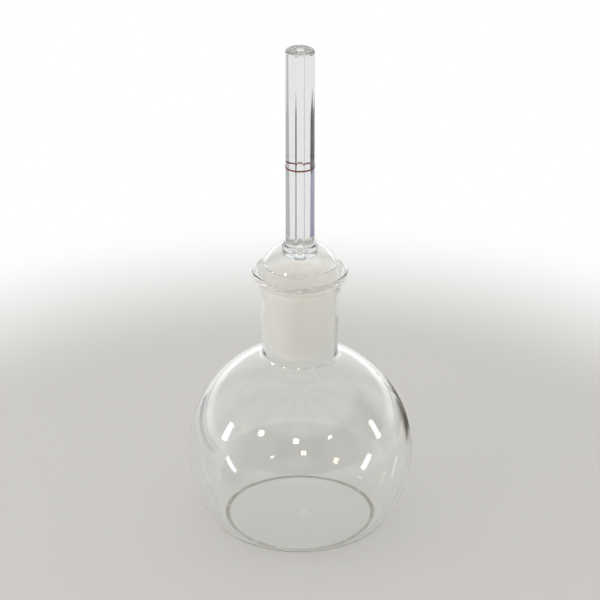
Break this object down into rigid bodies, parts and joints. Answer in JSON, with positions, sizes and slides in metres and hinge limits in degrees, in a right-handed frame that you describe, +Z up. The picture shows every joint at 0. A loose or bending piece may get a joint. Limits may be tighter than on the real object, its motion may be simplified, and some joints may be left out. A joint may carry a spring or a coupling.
{
  "type": "pycnometer",
  "caption": "Flat-bottomed round glass density bottle with a frosted ground neck, flared lip and a hollow domed stopper with a tall capillary stem and a red ring mark.",
  "frame": {"origin": "centre of the standing face at the foot of the bulb", "axes": "+Z up along the axis of the bulb, neck and stem; the body is one of revolution, so +X and +Y are free"},
  "size_m": [0.105, 0.105, 0.237],
  "materials": {
    "clear_glass": "clear borosilicate glass, fire-polished; ground to a matt white on the socket",
    "stopper_glass": "clear borosilicate glass, ground to a matt white on the cone",
    "mark_enamel": "fired red-brown enamel, glossy"
  },
  "bodies": {
    "root": {"flask": "clear_glass", "stopper": "stopper_glass", "ring_mark": "mark_enamel"}
  },
  "joints": []
}
